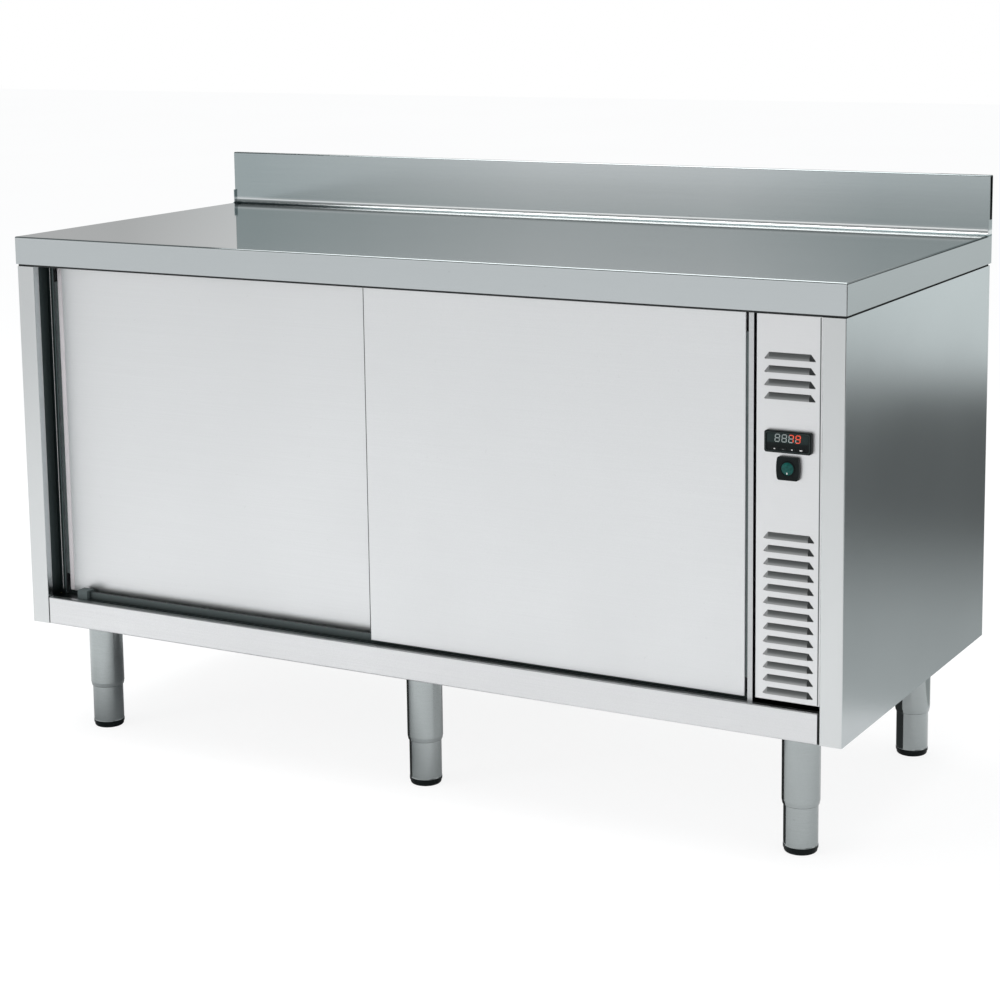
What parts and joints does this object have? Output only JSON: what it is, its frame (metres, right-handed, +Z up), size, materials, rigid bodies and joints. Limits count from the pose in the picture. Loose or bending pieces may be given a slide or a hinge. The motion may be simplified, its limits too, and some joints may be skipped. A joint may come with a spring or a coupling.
{
  "type": "hot cupboard",
  "caption": "Free-standing stainless hot cupboard with sliding doors, worktop with rear upstand, louvred control panel with controller and lit switch, fan heater and levelling legs.",
  "frame": {"origin": "on the floor under the middle of the worktop, between the feet", "axes": "+X to the right along the doors as seen from the front, +Y from the front to the back, +Z up"},
  "size_m": [1.6, 0.7, 1.034],
  "materials": {
    "worktop_steel": "fine-ground stainless sheet",
    "cabinet_steel": "brushed stainless sheet",
    "door_steel": "brushed stainless sheet",
    "liner_steel": "satin stainless sheet",
    "leg_steel": "satin stainless tube",
    "frame_steel": "dull steel",
    "track_steel": "mill finish",
    "board": "raw chipboard",
    "insulation": "mineral wool",
    "stop_rubber": "matt black",
    "roller_nylon": "natural nylon",
    "black_plastic": "satin black",
    "key_plastic": "soft black",
    "display": "dark tinted",
    "green_lens": "translucent green",
    "motor_paint": "dark grey",
    "fan_steel": "plain",
    "heater_sheath": "heat-tinted",
    "probe_steel": "plain",
    "terminal_plastic": "ivory"
  },
  "bodies": {
    "cabinet": {"worktop": "worktop_steel", "left_side_panel": "cabinet_steel", "right_side_panel": "cabinet_steel", "bottom_rail": "cabinet_steel", "control_panel": "cabinet_steel", "floor_panel": "liner_steel", "left_liner": "liner_steel", "rear_liner": "liner_steel", "ceiling_liner": "liner_steel", "partition": "liner_steel", "shelf": "liner_steel", "shelf_supports": "liner_steel", "fan_cover": "liner_steel", "rear_panel": "liner_steel", "base_pan": "liner_steel", "leg_tubes": "leg_steel", "top_frame": "frame_steel", "leg_mounts": "frame_steel", "rear_panel_screws": "frame_steel", "upper_track": "track_steel", "lower_tracks": "track_steel", "worktop_core": "board", "insulation_slabs": "insulation", "door_stops": "stop_rubber", "controller_case": "black_plastic", "switch_housing": "black_plastic", "cable_gland": "black_plastic", "controller_window": "display", "fan_motor": "motor_paint", "heater_element": "heater_sheath", "temperature_probe": "probe_steel", "terminal_block": "terminal_plastic"},
    "left_door": {"left_door_outer": "door_steel", "left_door_inner": "door_steel", "left_door_core": "insulation"},
    "left_door_roller_1": {"left_door_roller_1": "roller_nylon"},
    "left_door_roller_2": {"left_door_roller_2": "roller_nylon"},
    "right_door": {"right_door_outer": "door_steel", "right_door_inner": "door_steel", "right_door_core": "insulation"},
    "right_door_roller_1": {"right_door_roller_1": "roller_nylon"},
    "right_door_roller_2": {"right_door_roller_2": "roller_nylon"},
    "controller_key_1": {"controller_key_1": "key_plastic"},
    "controller_key_2": {"controller_key_2": "key_plastic"},
    "controller_key_3": {"controller_key_3": "key_plastic"},
    "controller_key_4": {"controller_key_4": "key_plastic"},
    "power_button": {"power_button": "green_lens"},
    "fan_wheel": {"fan_wheel": "fan_steel"},
    "foot_front_left": {"foot_front_left": "leg_steel", "foot_cap_front_left": "black_plastic"},
    "foot_front_middle": {"foot_front_middle": "leg_steel", "foot_cap_front_middle": "black_plastic"},
    "foot_front_right": {"foot_front_right": "leg_steel", "foot_cap_front_right": "black_plastic"},
    "foot_rear_left": {"foot_rear_left": "leg_steel", "foot_cap_rear_left": "black_plastic"},
    "foot_rear_middle": {"foot_rear_middle": "leg_steel", "foot_cap_rear_middle": "black_plastic"},
    "foot_rear_right": {"foot_rear_right": "leg_steel", "foot_cap_rear_right": "black_plastic"}
  },
  "joints": [
    {"name": "left_door_slide", "type": "slide", "parent": "cabinet", "child": "left_door", "axis": [1, 0, 0], "range_m": [0, 0.618]},
    {"name": "left_roller_1_spin", "type": "hinge", "parent": "left_door", "child": "left_door_roller_1", "pos_m": [-0.6832, -0.2985, 0.8918], "axis": [0, 1, 0], "continuous": true},
    {"name": "left_roller_2_spin", "type": "hinge", "parent": "left_door", "child": "left_door_roller_2", "pos_m": [-0.1095, -0.2985, 0.8918], "axis": [0, 1, 0], "continuous": true},
    {"name": "right_door_slide", "type": "slide", "parent": "cabinet", "child": "right_door", "axis": [1, 0, 0], "range_m": [-0.618, 0]},
    {"name": "right_roller_1_spin", "type": "hinge", "parent": "right_door", "child": "right_door_roller_1", "pos_m": [-0.0035, -0.3265, 0.8918], "axis": [0, 1, 0], "continuous": true},
    {"name": "right_roller_2_spin", "type": "hinge", "parent": "right_door", "child": "right_door_roller_2", "pos_m": [0.5702, -0.3265, 0.8918], "axis": [0, 1, 0], "continuous": true},
    {"name": "power_button_press", "type": "slide", "parent": "cabinet", "child": "power_button", "axis": [0, 1, 0], "range_m": [0, 0.0022], "stiffness_N_per_m": 1200},
    {"name": "controller_key_1_press", "type": "slide", "parent": "cabinet", "child": "controller_key_1", "axis": [0, 1, 0], "range_m": [0, 0.0008], "stiffness_N_per_m": 1000},
    {"name": "controller_key_2_press", "type": "slide", "parent": "cabinet", "child": "controller_key_2", "axis": [0, 1, 0], "range_m": [0, 0.0008], "stiffness_N_per_m": 1000},
    {"name": "controller_key_3_press", "type": "slide", "parent": "cabinet", "child": "controller_key_3", "axis": [0, 1, 0], "range_m": [0, 0.0008], "stiffness_N_per_m": 1000},
    {"name": "controller_key_4_press", "type": "slide", "parent": "cabinet", "child": "controller_key_4", "axis": [0, 1, 0], "range_m": [0, 0.0008], "stiffness_N_per_m": 1000},
    {"name": "fan_spin", "type": "hinge", "parent": "cabinet", "child": "fan_wheel", "pos_m": [0.6365, 0.06, 0.4095], "axis": [1, 0, 0], "continuous": true},
    {"name": "foot_front_left_level", "type": "slide", "parent": "cabinet", "child": "foot_front_left", "axis": [0, 0, 1], "range_m": [-0.025, 0.035]},
    {"name": "foot_front_middle_level", "type": "slide", "parent": "cabinet", "child": "foot_front_middle", "axis": [0, 0, 1], "range_m": [-0.025, 0.035]},
    {"name": "foot_front_right_level", "type": "slide", "parent": "cabinet", "child": "foot_front_right", "axis": [0, 0, 1], "range_m": [-0.025, 0.035]},
    {"name": "foot_rear_left_level", "type": "slide", "parent": "cabinet", "child": "foot_rear_left", "axis": [0, 0, 1], "range_m": [-0.025, 0.035]},
    {"name": "foot_rear_middle_level", "type": "slide", "parent": "cabinet", "child": "foot_rear_middle", "axis": [0, 0, 1], "range_m": [-0.025, 0.035]},
    {"name": "foot_rear_right_level", "type": "slide", "parent": "cabinet", "child": "foot_rear_right", "axis": [0, 0, 1], "range_m": [-0.025, 0.035]}
  ],
  "couplings": [
    {"joint": "left_roller_1_spin", "follows": "left_door_slide", "rad_per_m": 111.11},
    {"joint": "left_roller_2_spin", "follows": "left_door_slide", "rad_per_m": 111.11},
    {"joint": "right_roller_1_spin", "follows": "right_door_slide", "rad_per_m": 111.11},
    {"joint": "right_roller_2_spin", "follows": "right_door_slide", "rad_per_m": 111.11}
  ]
}
